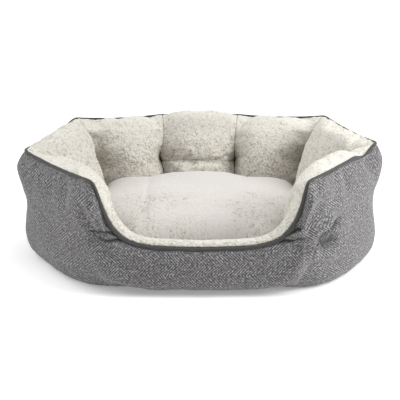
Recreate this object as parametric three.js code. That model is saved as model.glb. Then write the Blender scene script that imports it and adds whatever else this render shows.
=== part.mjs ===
// A cuddler pet bed: a padded wall of eight sewn panels with a dipped entrance, and a loose
// cushion inside it. Millimetres, +X to the bed's right, +Y to its back, +Z up. The origin is on
// the floor, under the middle of the bed.

import * as THREE from 'three';

// ---------------------------------------------------------------- driving dimensions

// The points where the lining's seams meet the rim, clockwise from above. Each one starts the
// panel that carries its name. rim is the height of the piping there. The bed stands on a
// rounded oval, so foot is how far the cover's lower edge is tucked in under that corner, and
// footMiddle how far under the middle of the panel.
const corners = [
  { panel: 'front_left', x: -158, y: -224, rim: 184, foot: 36, footMiddle: 1 },
  { panel: 'side_left', x: -293, y: -50, rim: 186, foot: 8, footMiddle: 5 },
  { panel: 'back_left', x: -240, y: 185, rim: 188, foot: 32, footMiddle: 14 },
  { panel: 'back_centre', x: -74, y: 225, rim: 186, foot: 24, footMiddle: 20 },
  { panel: 'back_right', x: 74, y: 225, rim: 186, foot: 24, footMiddle: 14 },
  { panel: 'side_right', x: 240, y: 185, rim: 192, foot: 32, footMiddle: 5 },
  { panel: 'front_right', x: 293, y: -50, rim: 199, foot: 4, footMiddle: -10 },
  { panel: 'front', x: 158, y: -224, rim: 184, foot: 32, footMiddle: 34 },
];
const rimSag = 4; // how far the rim hangs between two corners
const sillHeight = 77; // rim height in the middle of the entrance
const entranceShoulder = { x: 110, z: 90 }; // where the entrance's side turns into its sill

const baseThickness = 2;
const battingThickness = 6;
const baseFloorThickness = 1.5;
const coverThickness = 1.5;
const liningThickness = 6;
const gap = 0.3; // clearance between pieces that touch
const fillGap = 3; // clearance round the loose fibre

const pipingRadius = 3.5;
const pipingBore = 2.5;
const pipingCordRadius = 1.6;
const pipingSlit = 0.45; // half angle of the seam side of the piping, radians

const panelFlatness = 2.6; // a panel is rounder the lower this is, and boxier the higher
const frontFlatness = 4;
const footSpacing = 1.8; // how far the front panel's grain leans away from the entrance's sides

const tuftHeight = 0.55; // share of the wall's height at which the tufts are tied
const tuftThreadRadius = 1.2;
const tuftRoom = 2.5; // room for the thread between two wads

const cushionInset = 88; // from the rim line to the cushion's side, clear of every lining bulge
const cushionReach = 8; // how much further it reaches at the wall's seams
const cushionSeam = 30; // height of the cushion's side seam over its underside
const cushionCrown = 97; // height of its middle
const sherpaThickness = 5;
const cushionFabric = 1.5;

const stationsPerPanel = 6;
const stationsInFront = 20;
const cushionStations = 32;

// The wall's cross-sections, at a seam and in the middle of a panel, as [inward, share, rise]:
// how far a point is inside the rim line, its share of the wall's height, and how far it
// stands over the rim. A section that tucks follows the foot's oval low down.
const outer = {
  tucks: true,
  seam: [
    [0, 0, 0], [-4, 0.08, 0], [-6, 0.2, 0], [-3, 0.36, 0],
    [-1, 0.5, 0], [-7, 0.68, 0], [-13, 0.86, 0], [-0.75, 1, -4.1],
  ],
  middle: [
    [0, 0, 0], [-8, 0.07, 0], [-12, 0.19, 0], [-12, 0.37, 0],
    [-9, 0.57, 0], [-11, 0.75, 0], [-9, 0.88, 0], [-0.75, 1, -4.1],
  ],
};
const lining = {
  tucks: false,
  seam: [
    [62, 0, 0], [58, 0.2, 0], [46, 0.42, 0], [37, 0.55, 0],
    [45, 0.72, 0], [36, 0.87, 0], [15, 1, 1], [4.3, 1, 0.5],
  ],
  middle: [
    [78, 0, 0], [84, 0.2, 0], [86, 0.4, 0], [77, 0.64, 0],
    [53, 0.87, 0], [27, 1, 6], [11, 1, 4.5], [4.3, 1, 0.5],
  ],
};
const tuckTop = 0.55; // share of the height at which the foot's oval has faded out

// ---------------------------------------------------------------- materials

function material(name, colour, roughness) {
  return new THREE.MeshStandardMaterial({ name, color: colour, roughness, metalness: 0 });
}

const herringbone = () => material('herringbone', 0x7d7c7d, 0.9);
const sherpa = () => material('sherpa', 0xd8d5ca, 1);
const piping = () => material('piping', 0x46463f, 0.85);
const fibre = () => material('fibre', 0xf1f0ec, 1);
const baseCloth = () => material('base_cloth', 0x3c3c3b, 0.9);
const thread = () => material('thread', 0xb9b6ab, 0.8);

// ---------------------------------------------------------------- closed solids

// A solid between two sheets of points, sideA[i][j] and sideB[i][j]. With wraps, the first and
// last rows meet in a ring. With pole, every row starts at one shared point of its sheet.
function solidBetween(sideA, sideB, { wraps = false, pole = false } = {}) {
  const rows = sideA.length;
  const columns = sideA[0].length;
  const positions = [];
  const numbers = [];
  for (const side of [sideA, sideB]) {
    numbers.push(side.map((row, i) => row.map((point, j) => {
      if (pole && j === 0 && i > 0) return null;
      positions.push(point.x, point.y, point.z);
      return positions.length / 3 - 1;
    })));
  }
  const vertex = (side, i, j) => numbers[side][pole && j === 0 ? 0 : i % rows][j];
  const triangles = [];
  const triangle = (a, b, c) => {
    if (a !== b && b !== c && c !== a) triangles.push(a, b, c);
  };
  const quad = (a, b, c, d) => {
    triangle(a, b, c);
    triangle(a, c, d);
  };
  const lastRow = wraps ? rows : rows - 1;
  for (let i = 0; i < lastRow; i += 1) {
    for (let j = 0; j < columns - 1; j += 1) {
      quad(vertex(0, i, j), vertex(0, i + 1, j), vertex(0, i + 1, j + 1), vertex(0, i, j + 1));
      quad(vertex(1, i, j), vertex(1, i, j + 1), vertex(1, i + 1, j + 1), vertex(1, i + 1, j));
    }
    const end = columns - 1;
    quad(vertex(0, i, end), vertex(0, i + 1, end), vertex(1, i + 1, end), vertex(1, i, end));
    if (!pole) quad(vertex(0, i, 0), vertex(1, i, 0), vertex(1, i + 1, 0), vertex(0, i + 1, 0));
  }
  if (!wraps) {
    const end = rows - 1;
    for (let j = 0; j < columns - 1; j += 1) {
      quad(vertex(0, 0, j), vertex(0, 0, j + 1), vertex(1, 0, j + 1), vertex(1, 0, j));
      quad(vertex(0, end, j), vertex(1, end, j), vertex(1, end, j + 1), vertex(0, end, j + 1));
    }
  }
  return facingOut(positions, triangles);
}

// The same for a closed outline that is swept round a ring: rings[i][j] is outline point j at
// station i, and both i and j wrap.
function sweptRing(rings) {
  const rows = rings.length;
  const columns = rings[0].length;
  const positions = rings.flat().flatMap((point) => [point.x, point.y, point.z]);
  const vertex = (i, j) => (i % rows) * columns + (j % columns);
  const triangles = [];
  for (let i = 0; i < rows; i += 1) {
    for (let j = 0; j < columns; j += 1) {
      const [a, b, c, d] = [vertex(i, j), vertex(i + 1, j), vertex(i + 1, j + 1), vertex(i, j + 1)];
      triangles.push(a, b, c, a, c, d);
    }
  }
  return facingOut(positions, triangles);
}

// Builds the geometry, and turns every triangle over if the solid came out inside out.
function facingOut(positions, triangles) {
  const corner = (n) => new THREE.Vector3().fromArray(positions, 3 * n);
  let volume = 0;
  for (let t = 0; t < triangles.length; t += 3) {
    const [a, b, c] = [0, 1, 2].map((k) => corner(triangles[t + k]));
    volume += a.dot(b.cross(c));
  }
  if (volume < 0) triangles.reverse();
  const geometry = new THREE.BufferGeometry();
  geometry.setAttribute('position', new THREE.Float32BufferAttribute(positions, 3));
  geometry.setIndex(triangles);
  geometry.computeVertexNormals();
  return geometry;
}

function piece(name, geometry, surface) {
  const mesh = new THREE.Mesh(geometry, surface);
  mesh.name = name;
  return mesh;
}

// ---------------------------------------------------------------- the wall's own coordinates

const wallBottom = baseThickness + gap;
const front = corners.length - 1;
const halfEntrance = corners[front].x;

function cornerAt(index) {
  return corners[(index + corners.length) % corners.length];
}

// The level direction into the bed, at right angles to a panel.
function inwardOf(index) {
  const [from, to] = [cornerAt(index), cornerAt(index + 1)];
  return new THREE.Vector2(to.y - from.y, from.x - to.x).normalize();
}

// At a corner, the step that moves 1 mm away from both of its panels.
function mitreAt(index) {
  const [before, after] = [inwardOf(index - 1), inwardOf(index)];
  return before.clone().add(after).divideScalar(1 + before.dot(after));
}

// The rim of the entrance from the right corner to the left one, seen from the front.
function entranceRim() {
  const top = corners[front].rim;
  const { x, z } = entranceShoulder;
  const point = (px, pz) => new THREE.Vector2(px, pz);
  const half = (side) => [
    [point(side * halfEntrance, top), point(side * (x + 36), top - 24),
      point(side * (x + 36), z + 22), point(side * x, z)],
    [point(side * x, z), point(side * (x - 15), z - 9),
      point(side * (x - 40), sillHeight + 1), point(0, sillHeight)],
  ];
  const path = new THREE.CurvePath();
  for (const points of half(1)) path.add(new THREE.CubicBezierCurve(...points));
  for (const points of half(-1).reverse()) {
    path.add(new THREE.CubicBezierCurve(...points.reverse()));
  }
  return path;
}

const entrance = entranceRim();

// At share u along a panel: along, the place on the panel's own line at the floor and at the
// rim, height, that of the rim, and over, the direction that leaves the panel past its rim.
function rimOf(index, u) {
  if (index !== front) {
    const [from, to] = [cornerAt(index), cornerAt(index + 1)];
    const height = THREE.MathUtils.lerp(from.rim, to.rim, u) - 4 * rimSag * u * (1 - u);
    return { foot: u, along: u, height, over: new THREE.Vector2(0, 1) };
  }
  const step = 0.002;
  const here = entrance.getPoint(u);
  const ahead = entrance.getPoint(Math.min(1, u + step));
  const behind = entrance.getPoint(Math.max(0, u - step));
  const slope = ahead.sub(behind).normalize();
  const turn = THREE.MathUtils.smoothstep(Math.min(u, 1 - u), 0, 0.08);
  const over = new THREE.Vector2(0, 1).lerp(new THREE.Vector2(-slope.y, slope.x).negate(), turn);
  const along = (halfEntrance - here.x) / (2 * halfEntrance);
  const half = 0.5 * (2 * Math.min(u, 1 - u)) ** footSpacing;
  return { foot: u < 0.5 ? half : 1 - half, along, height: here.y, over: over.normalize() };
}

// A place seen from above: at share along a panel's own line, and inward of it.
function planPoint(index, along, inward) {
  const [from, to] = [cornerAt(index), cornerAt(index + 1)];
  const step = mitreAt(index).lerp(mitreAt(index + 1), along);
  return new THREE.Vector2(
    THREE.MathUtils.lerp(from.x, to.x, along) + step.x * inward,
    THREE.MathUtils.lerp(from.y, to.y, along) + step.y * inward,
  );
}

// A point of the wall: at share u of a panel, inward of the rim line, at a share of the height
// and at a rise over the rim.
function wallPoint(index, u, [inward, share, rise]) {
  const { foot, along, height, over } = rimOf(index, u);
  const across = index === front ? (-over.x * rise) / (2 * halfEntrance) : 0;
  const place = planPoint(index, THREE.MathUtils.lerp(foot, along, share) + across, inward);
  const level = wallBottom + share * (height - wallBottom) + over.y * rise;
  return new THREE.Vector3(place.x, place.y, level);
}

// Moves a cross-section sideways by distance, to the left of the way that its points run.
function offsetLine(line, distance) {
  const reference = corners[0].rim - wallBottom;
  const flat = line.map(([inward, share, rise]) => (
    new THREE.Vector2(inward, share * reference + rise)));
  return line.map(([inward, share, rise], j) => {
    const before = flat[Math.max(0, j - 1)];
    const after = flat[Math.min(flat.length - 1, j + 1)];
    const way = after.clone().sub(before).normalize();
    const lift = way.x * distance;
    const moved = inward - way.y * distance;
    if (share === 1) return [moved, share, rise + lift];
    return [moved, Math.max(0, share + lift / reference), rise];
  });
}

function offsetSection({ tucks, seam, middle }, distance) {
  return { tucks, seam: offsetLine(seam, distance), middle: offsetLine(middle, distance) };
}

// How far the wall's outside is tucked in at that place, to meet the foot's oval.
function tuckAt(index, u, share, fullness) {
  const { foot, footMiddle } = corners[index];
  const atSeams = THREE.MathUtils.lerp(foot, cornerAt(index + 1).foot, u);
  const fade = Math.max(0, 1 - share / tuckTop) ** 2;
  return THREE.MathUtils.lerp(atSeams, footMiddle, fullness) * fade;
}

// One row of points up the wall. Panels are fullest in the middle and pinched at the seams.
function wallRow(index, u, { tucks, seam, middle }) {
  const sharpness = index === front ? frontFlatness : panelFlatness;
  const fullness = 1 - Math.abs(2 * u - 1) ** sharpness;
  return seam.map((point, j) => {
    const [inward, share, rise] = point.map((value, k) => (
      THREE.MathUtils.lerp(value, middle[j][k], fullness)));
    const tuck = tucks ? tuckAt(index, u, share, fullness) : 0;
    return wallPoint(index, u, [inward + tuck, share, rise]);
  });
}

function stationsOf(index) {
  const count = index === front ? stationsInFront : stationsPerPanel;
  return Array.from({ length: count + 1 }, (_, i) => i / count);
}

function wallRows(index, section) {
  return stationsOf(index).map((u) => wallRow(index, u, section));
}

// Cuts a strip of that width off both ends of a sheet of rows.
function trimmed(rows, width) {
  const shortened = (end, next) => {
    const share = width / Math.hypot(next[0].x - end[0].x, next[0].y - end[0].y);
    return end.map((point, j) => point.clone().lerp(next[j], share));
  };
  const first = shortened(rows[0], rows[1]);
  const last = shortened(rows[rows.length - 1], rows[rows.length - 2]);
  return [first, ...rows.slice(1, -1), last];
}

// ---------------------------------------------------------------- the wall's pieces

function outerCover(name, firstPanel, panelCount) {
  const sides = [outer, offsetSection(outer, -coverThickness)].map((section) => {
    const rows = [];
    for (let n = 0; n < panelCount; n += 1) {
      const panel = wallRows((firstPanel + n) % corners.length, section);
      rows.push(...(n === 0 ? panel : panel.slice(1)));
    }
    return trimmed(rows, gap / 2);
  });
  return piece(name, solidBetween(...sides), herringbone());
}

function liningPanel(index) {
  const sides = [lining, offsetSection(lining, liningThickness)].map((section) => (
    trimmed(wallRows(index, section), gap / 2)));
  return piece(`lining_${corners[index].panel}`, solidBetween(...sides), sherpa());
}

function wallFill(index) {
  const outside = offsetSection(outer, -coverThickness - fillGap);
  const inside = offsetSection(lining, liningThickness + fillGap);
  const sides = [outside, inside].map((section) => trimmed(wallRows(index, section), tuftRoom));
  return piece(`wall_fill_${corners[index].panel}`, solidBetween(...sides), fibre());
}

// The thread that ties the lining to the outer cover at a corner of the wall.
function tuftTie(index) {
  const levelOf = ({ seam: section }) => {
    const next = section.findIndex(([, share]) => share >= tuftHeight);
    const [low, high] = [section[next - 1], section[next]];
    const part = (tuftHeight - low[1]) / (high[1] - low[1]);
    return THREE.MathUtils.lerp(low[0], high[0], part);
  };
  const outside = levelOf(outer) + coverThickness + 1;
  const inside = levelOf(lining) - liningThickness - 1.5;
  const start = wallPoint(index, 0, [outside, tuftHeight, 0]);
  const end = wallPoint(index, 0, [inside, tuftHeight, 0]);
  const geometry = new THREE.CylinderGeometry(
    tuftThreadRadius, tuftThreadRadius, start.distanceTo(end), 6);
  const tie = piece(`tuft_tie_${index + 1}`, geometry, thread());
  tie.position.copy(start).lerp(end, 0.5);
  tie.quaternion.setFromUnitVectors(new THREE.Vector3(0, 1, 0), end.sub(start).normalize());
  return tie;
}

// Carries an outline, in [inward, over the rim] steps, all the way round the rim.
function alongRim(outline) {
  const rings = [];
  corners.forEach((_, index) => {
    for (const u of stationsOf(index).slice(0, -1)) {
      rings.push(outline.map(([inward, rise]) => wallPoint(index, u, [inward, 1, rise])));
    }
  });
  return sweptRing(rings);
}

function arcPoints(radius, from, to, count) {
  return Array.from({ length: count + 1 }, (_, i) => {
    const angle = THREE.MathUtils.lerp(from, to, i / count);
    return [radius * Math.cos(angle), radius * Math.sin(angle)];
  });
}

// Piping: a strip of cloth folded round a cord, open on the side that is caught in the seam.
function rimPiping() {
  const seamSide = -Math.PI / 2;
  const [from, to] = [seamSide + pipingSlit, seamSide + 2 * Math.PI - pipingSlit];
  const outline = [
    ...arcPoints(pipingRadius, from, to, 6),
    ...arcPoints(pipingBore, from, to, 4).reverse(),
  ];
  return piece('rim_piping', alongRim(outline), piping());
}

function rimPipingCord() {
  const outline = arcPoints(pipingCordRadius, 0, 2 * Math.PI, 6).slice(0, -1);
  return piece('rim_piping_cord', alongRim(outline), fibre());
}

// ---------------------------------------------------------------- the base

// A flat sheet whose edge follows the wall, a set distance inside the rim line.
function floorSheet(name, surface, bottom, thickness, edgePoints) {
  const shape = new THREE.Shape(edgePoints.map((point) => new THREE.Vector2(point.x, point.y)));
  const geometry = new THREE.ExtrudeGeometry(shape, { depth: thickness, bevelEnabled: false });
  const sheet = piece(name, geometry, surface);
  sheet.position.z = bottom;
  return sheet;
}

// The wall's outer foot, from panel to panel.
function footOutline() {
  const points = [];
  corners.forEach((_, index) => {
    const feet = stationsOf(index).slice(0, -1);
    const kept = feet.filter((_u, i) => index !== front || i % 4 === 0);
    for (const u of kept) points.push(wallRow(index, u, outer)[0]);
  });
  return points;
}

function insetCorners(inward) {
  return corners.map((_, index) => planPoint(index, 0, inward));
}

const battingBottom = baseThickness + gap;
const baseFloorBottom = battingBottom + battingThickness + gap;
const cushionBottom = baseFloorBottom + baseFloorThickness + gap;
const baseInset = lining.middle[1][0];

function base() {
  return [
    floorSheet('base_fabric', baseCloth(), 0, baseThickness, footOutline()),
    floorSheet('base_batting', fibre(), battingBottom, battingThickness, insetCorners(baseInset)),
    floorSheet('base_floor', baseCloth(), baseFloorBottom, baseFloorThickness,
      insetCorners(baseInset)),
  ];
}

// ---------------------------------------------------------------- the cushion

// The cushion's outline from above. It reaches a little into the wall's seams.
function cushionOutline() {
  const places = [0, 0.2, 0.4, 0.6, 0.8];
  const points = corners.flatMap((_, index) => places.map((along) => {
    const reach = cushionReach * Math.abs(2 * along - 1) ** 4;
    const { x, y } = planPoint(index, along, cushionInset - reach);
    return new THREE.Vector3(x, y, 0);
  }));
  const curve = new THREE.CatmullRomCurve3(points, true);
  return curve.getSpacedPoints(cushionStations).slice(0, cushionStations)
    .map((point) => new THREE.Vector2(point.x, point.y));
}

// The cushion's upper face at a share of the way from its middle to its seam.
function crownHeight(share) {
  return cushionSeam + (cushionCrown - cushionSeam) * (1 - share ** 5) ** 0.42;
}

// The lower face is flat where it rests, and turns up to the seam at its edge.
function undersideHeight(share) {
  const flatShare = 0.86;
  const turn = Math.max(0, (share - flatShare) / (1 - flatShare));
  return cushionSeam * (1 - Math.sqrt(1 - turn ** 2));
}

// A face of the cushion, drawn in from its skin by depth: level is up on the upper face and
// down on the lower one.
function cushionFace(heightAt, shares, depth, level) {
  const outline = cushionOutline();
  return outline.map((point) => shares.map((share) => {
    const reach = share - (depth * share ** 3) / point.length();
    return new THREE.Vector3(point.x * reach, point.y * reach, heightAt(share) - level * depth);
  }));
}

const crownShares = [0, 0.4, 0.66, 0.82, 0.92, 0.98, 1];
const undersideShares = [0, 0.6, 0.86, 0.93, 0.98, 1];
const polar = { wraps: true, pole: true };

function cushionCoverTop() {
  const skin = cushionFace((share) => crownHeight(share) + gap, crownShares, 0, 1);
  const back = cushionFace(
    (share) => Math.max(crownHeight(share), cushionSeam + sherpaThickness) + gap,
    crownShares, sherpaThickness, 1);
  return piece('cushion_cover_top', solidBetween(skin, back, polar), sherpa());
}

function cushionCoverBottom() {
  const skin = cushionFace(undersideHeight, undersideShares, 0, -1);
  const back = cushionFace(
    (share) => Math.min(undersideHeight(share), cushionSeam - cushionFabric),
    undersideShares, cushionFabric, -1);
  return piece('cushion_cover_bottom', solidBetween(skin, back, polar), baseCloth());
}

function cushionFill() {
  const top = cushionFace(
    (share) => Math.max(crownHeight(share), cushionSeam + sherpaThickness + 2),
    crownShares, sherpaThickness + 2 * gap, 1);
  const bottom = cushionFace(
    (share) => Math.min(undersideHeight(share), cushionSeam - cushionFabric - 2),
    crownShares, sherpaThickness + 2 * gap, -1);
  return piece('cushion_fill', solidBetween(top, bottom, polar), fibre());
}

// ---------------------------------------------------------------- the bed

const wall = new THREE.Group();
wall.add(outerCover('outer_cover_front', front - 1, 3), outerCover('outer_cover_back', 1, 5));
corners.forEach((_, index) => wall.add(liningPanel(index), wallFill(index), tuftTie(index)));
wall.add(rimPiping(), rimPipingCord());

const cushion = new THREE.Group();
cushion.position.z = cushionBottom;
cushion.add(cushionCoverTop(), cushionCoverBottom(), cushionFill());

const bed = new THREE.Group();
bed.add(wall, ...base(), cushion);

export default bed;
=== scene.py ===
"""A cuddler pet bed: herringbone cover, sherpa lining in eight sewn panels, charcoal piping,
and a loose sherpa cushion. Metres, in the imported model's frame: +X right, +Y back, +Z up."""

import math

import bpy
import numpy as np
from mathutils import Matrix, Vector


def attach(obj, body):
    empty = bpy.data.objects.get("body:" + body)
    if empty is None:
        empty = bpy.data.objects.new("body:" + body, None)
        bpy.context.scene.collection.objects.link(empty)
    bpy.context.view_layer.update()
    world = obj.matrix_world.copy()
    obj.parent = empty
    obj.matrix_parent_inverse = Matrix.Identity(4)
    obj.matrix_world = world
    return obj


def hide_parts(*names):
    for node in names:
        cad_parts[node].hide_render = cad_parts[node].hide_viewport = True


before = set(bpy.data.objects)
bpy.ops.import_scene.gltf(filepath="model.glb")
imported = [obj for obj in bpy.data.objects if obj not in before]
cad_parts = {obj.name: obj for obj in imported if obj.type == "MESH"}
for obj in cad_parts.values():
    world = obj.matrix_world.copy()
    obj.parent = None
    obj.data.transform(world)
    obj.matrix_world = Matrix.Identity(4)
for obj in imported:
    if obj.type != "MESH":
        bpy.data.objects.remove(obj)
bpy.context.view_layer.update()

MM = 0.001

# ---- camera, light and floor

CAMERA_TARGET = Vector((0.0, -0.006, 0.085))
CAMERA_DISTANCE = 1.5
CAMERA_ELEVATION = math.radians(18)
CAMERA_LENS = 77.2  # mm, on a 36 mm frame
WORLD_STRENGTH = 0.27
# The two suns: the direction toward each, its power and its spread in degrees.
KEY_LIGHT = ((0.3, 0.04, 0.95), 1.5, 50)
FILL_LIGHT = ((-0.7, 0.06, 0.7), 1.95, 60)
LAMP_PLACE = Vector((1.2, -0.5, 0.8))  # a soft lamp on the right
LAMP_AIM = Vector((0.2, -0.1, 0.1))
LAMP_POWER = 17
LAMP_SIZE = 0.8
FLOOR_REACH = 6000  # mm
FLOOR_TONE = 0.85
FLOOR_GLOW = 0.25  # it gives a little light itself, so that the shadows stay pale


def add_object(name, data):
    obj = bpy.data.objects.new(name, data)
    bpy.context.scene.collection.objects.link(obj)
    return obj


def aim(obj, way):
    """Turns a camera or a lamp so that it looks that way."""
    obj.rotation_euler = way.to_track_quat("-Z", "Y").to_euler()


def make_camera():
    data = bpy.data.cameras.new("camera")
    data.lens = CAMERA_LENS
    data.sensor_width = 36
    data.clip_end = 50
    camera = add_object("camera", data)
    back = CAMERA_DISTANCE * math.cos(CAMERA_ELEVATION)
    up = CAMERA_DISTANCE * math.sin(CAMERA_ELEVATION)
    camera.location = CAMERA_TARGET + Vector((0, -back, up))
    aim(camera, CAMERA_TARGET - camera.location)
    bpy.context.scene.camera = camera


def sun(name, toward, power, spread):
    """A very soft, even light from that direction."""
    data = bpy.data.lights.new(name, "SUN")
    data.energy = power
    data.angle = math.radians(spread)
    aim(add_object(name, data), -Vector(toward))


def make_studio():
    world = bpy.data.worlds.new("studio")
    world.use_nodes = True
    background = world.node_tree.nodes["Background"]
    background.inputs["Color"].default_value = (1, 1, 1, 1)
    background.inputs["Strength"].default_value = WORLD_STRENGTH
    bpy.context.scene.world = world
    bpy.context.scene.view_settings.view_transform = "Standard"
    sun("key", *KEY_LIGHT)
    sun("fill", *FILL_LIGHT)
    side = bpy.data.lights.new("side", "AREA")
    side.shape = "DISK"
    side.size = LAMP_SIZE
    side.energy = LAMP_POWER
    lamp = add_object("side", side)
    lamp.location = LAMP_PLACE
    aim(lamp, LAMP_AIM - LAMP_PLACE)


def make_floor():
    pale = Nodes("floor", 0.9)
    pale.shader.inputs["Base Color"].default_value = (FLOOR_TONE, FLOOR_TONE, FLOOR_TONE, 1)
    pale.shader.inputs["Emission Color"].default_value = (1, 1, 1, 1)
    pale.shader.inputs["Emission Strength"].default_value = FLOOR_GLOW
    corners = np.array([(-1, -1, 0), (1, -1, 0), (1, 1, 0), (-1, 1, 0)]) * FLOOR_REACH
    floor = mesh_object("floor", corners, [(0, 1, 2, 3)], material=pale.material)


# ---- material helpers

class Nodes:
    """One material, with short calls for its nodes."""

    def __init__(self, name, roughness, sheen=0.0, sheen_roughness=0.5):
        self.material = bpy.data.materials.new(name)
        self.material.use_nodes = True
        self.tree = self.material.node_tree
        self.shader = self.tree.nodes["Principled BSDF"]
        self.shader.inputs["Roughness"].default_value = roughness
        self.shader.inputs["Sheen Weight"].default_value = sheen
        self.shader.inputs["Sheen Roughness"].default_value = sheen_roughness

    def add(self, kind, **settings):
        node = self.tree.nodes.new(kind)
        for name, value in settings.items():
            setattr(node, name, value)
        return node

    def link(self, out, into):
        self.tree.links.new(out, into)

    def object_place(self):
        return self.add("ShaderNodeTexCoord").outputs["Object"]

    def cloth_place(self):
        return self.add("ShaderNodeUVMap", uv_map="cloth").outputs["UV"]

    def attribute(self, name):
        return self.add("ShaderNodeAttribute", attribute_name=name).outputs["Fac"]

    def split(self, vector):
        node = self.add("ShaderNodeSeparateXYZ")
        self.link(vector, node.inputs[0])
        return node.outputs

    def math(self, operation, *values, clamp=False):
        """values are numbers or the outputs of other nodes."""
        node = self.add("ShaderNodeMath", operation=operation, use_clamp=clamp)
        for socket, value in zip(node.inputs, values):
            if isinstance(value, bpy.types.NodeSocket):
                self.link(value, socket)
            else:
                socket.default_value = value
        return node.outputs[0]

    def noise(self, vector, scale, detail=2.0, roughness=0.5, output="Fac"):
        node = self.add("ShaderNodeTexNoise")
        self.link(vector, node.inputs["Vector"])
        node.inputs["Scale"].default_value = scale
        node.inputs["Detail"].default_value = detail
        node.inputs["Roughness"].default_value = roughness
        return node.outputs[output]

    def wave(self, value, pitch):
        """A smooth wave from -1 to 1 that comes back after each pitch."""
        return self.math("SINE", self.math("MULTIPLY", value, 2 * math.pi / pitch))

    def ramp(self, value, *stops):
        node = self.add("ShaderNodeValToRGB")
        self.link(value, node.inputs["Fac"])
        elements = node.color_ramp.elements
        while len(elements) < len(stops):
            elements.new(0.5)
        for element, (place, colour) in zip(elements, stops):
            element.position = place
            element.color = (*colour, 1)
        return node.outputs["Color"]

    def mix(self, share, first, second):
        """Turns a colour output into a fixed colour by that share, from 0 to 1."""
        node = self.add("ShaderNodeMix", data_type="RGBA")
        self.link(share, node.inputs["Factor"])
        self.link(first, node.inputs[6])
        node.inputs[7].default_value = (*second, 1)
        return node.outputs[2]

    def finish(self, colour, height, distance, strength):
        """Gives the material its colour, and a bump of that distance and strength."""
        bump = self.add("ShaderNodeBump")
        bump.inputs["Strength"].default_value = strength
        bump.inputs["Distance"].default_value = distance
        self.link(height, bump.inputs["Height"])
        self.link(colour, self.shader.inputs["Base Color"])
        self.link(bump.outputs["Normal"], self.shader.inputs["Normal"])
        return self.material


# ---- noise for the geometry

CURL_SIZE = 5.0 * MM
CURL_STEEPNESS = 2.6


def hashed(x, y, z, salt):
    """A repeatable number from 0 to 1 for each whole-number place."""
    mask = np.uint64(0xFFFFFFFF)
    n = (x.astype(np.int64) * 73856093) ^ (y.astype(np.int64) * 19349663)
    n = (n ^ (z.astype(np.int64) * 83492791) ^ (salt * 265443576)).astype(np.uint64) & mask
    n = ((n ^ (n >> np.uint64(15))) * np.uint64(2246822519)) & mask
    n = ((n ^ (n >> np.uint64(13))) * np.uint64(3266489917)) & mask
    return ((n ^ (n >> np.uint64(16))) & np.uint64(0xFFFFFF)).astype(float) / 0xFFFFFF


def smooth_noise(points, size, salt):
    """Value noise from -1 to 1 with features of that size, at each row of points."""
    scaled = points / size
    whole = np.floor(scaled)
    part = scaled - whole
    part = part * part * (3 - 2 * part)
    total = np.zeros(len(points))
    for corner in np.ndindex(2, 2, 2):
        place = whole + corner
        weight = np.prod(np.where(corner, part, 1 - part), axis=1)
        total += weight * hashed(*place.T, salt)
    return 2 * total - 1


def curls(points, size, salt):
    """Rounded lumps of that size: 1 on top of each, and 0 in the creases between them."""
    scaled = points / size
    whole = np.floor(scaled)
    nearest = np.full(len(points), 9.0)
    second = np.full(len(points), 9.0)
    for offset in np.ndindex(3, 3, 3):
        cell = whole + np.array(offset) - 1
        centre = cell + np.stack([hashed(*cell.T, salt + k) for k in range(3)], axis=1)
        distance = np.sqrt(((scaled - centre) ** 2).sum(axis=1))
        second = np.minimum(second, np.maximum(nearest, distance))
        nearest = np.minimum(nearest, distance)
    return np.clip((second - nearest) * CURL_STEEPNESS, 0, 1)


def sherpa_pile(points, salt, parted):
    """How high the fleece stands, from 0 in a crease to 1 on a curl. parted is how open the
    creases are at each point, from 0 to 1, and they open in patches too."""
    warp = np.stack([smooth_noise(points, 3.0 * MM, salt + k) for k in range(3)], axis=1)
    bent = points + warp * 1.2 * MM
    large = curls(bent, CURL_SIZE, salt + 11) ** 0.6
    small = curls(bent, CURL_SIZE * 0.55, salt + 23) ** 0.7
    patch = 0.85 + 0.15 * smooth_noise(points, 8 * MM, salt + 31)
    return 1 - (1 - large * (0.5 + 0.5 * small)) * patch * parted


# ---- the wall's shape

# The rim is pulled down a little where the right side's seam meets it.
NOTCH_DEPTH = 9
NOTCH_PLACE = 0.2
NOTCH_WIDTH = 0.09


class Corner:
    """A corner of the wall, where a seam of the lining meets the rim, in millimetres. It
    starts the panel of that name, clockwise from above. foot and foot_middle are how far the
    cover is tucked in at the corner and in mid-panel, and softness rounds the rim there."""

    def __init__(self, panel, x, y, rim, foot, foot_middle, softness):
        self.panel = panel
        self.place = np.array([x, y], float)
        self.rim = rim
        self.foot = foot
        self.foot_middle = foot_middle
        self.softness = softness


CORNERS = [
    Corner("front_left", -158, -224, 184, 36, 1, 0.8),
    Corner("side_left", -293, -50, 186, 8, 5, 1.0),
    Corner("back_left", -240, 185, 188, 32, 14, 0.2),
    Corner("back_centre", -74, 225, 186, 24, 20, 0.4),
    Corner("back_right", 74, 225, 186, 24, 14, 0.4),
    Corner("side_right", 240, 185, 192, 32, 5, 0.2),
    Corner("front_right", 293, -50, 199, 4, -10, 0.3),
    Corner("front", 158, -224, 184, 32, 34, 0.6),
]
FRONT = 7
BACK_CENTRE = 3
FRONT_RIGHT = 6
RIM_SAG = 4
SILL_HEIGHT = 77
SHOULDER_RIGHT = ((116, 90), 37)  # where the entrance's side turns into its sill, and how
SHOULDER_LEFT = ((111, 90), 36)   # far out the side bulges over that
FOOT_SPACING = 1.8  # how much closer together the stations of the entrance's foot begin
WALL_BOTTOM = 1.2
TUCK_TOP = 0.55  # the share of the height where the tuck ends

# The two halves of the outer cover, and the order in which the panels are laid side by
# side, so that neither half runs past the end.
COVER_BACK = [1, 2, 3, 4, 5]
COVER_FRONT = [6, 7, 0]
PANEL_ORDER = COVER_BACK + COVER_FRONT

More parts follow.
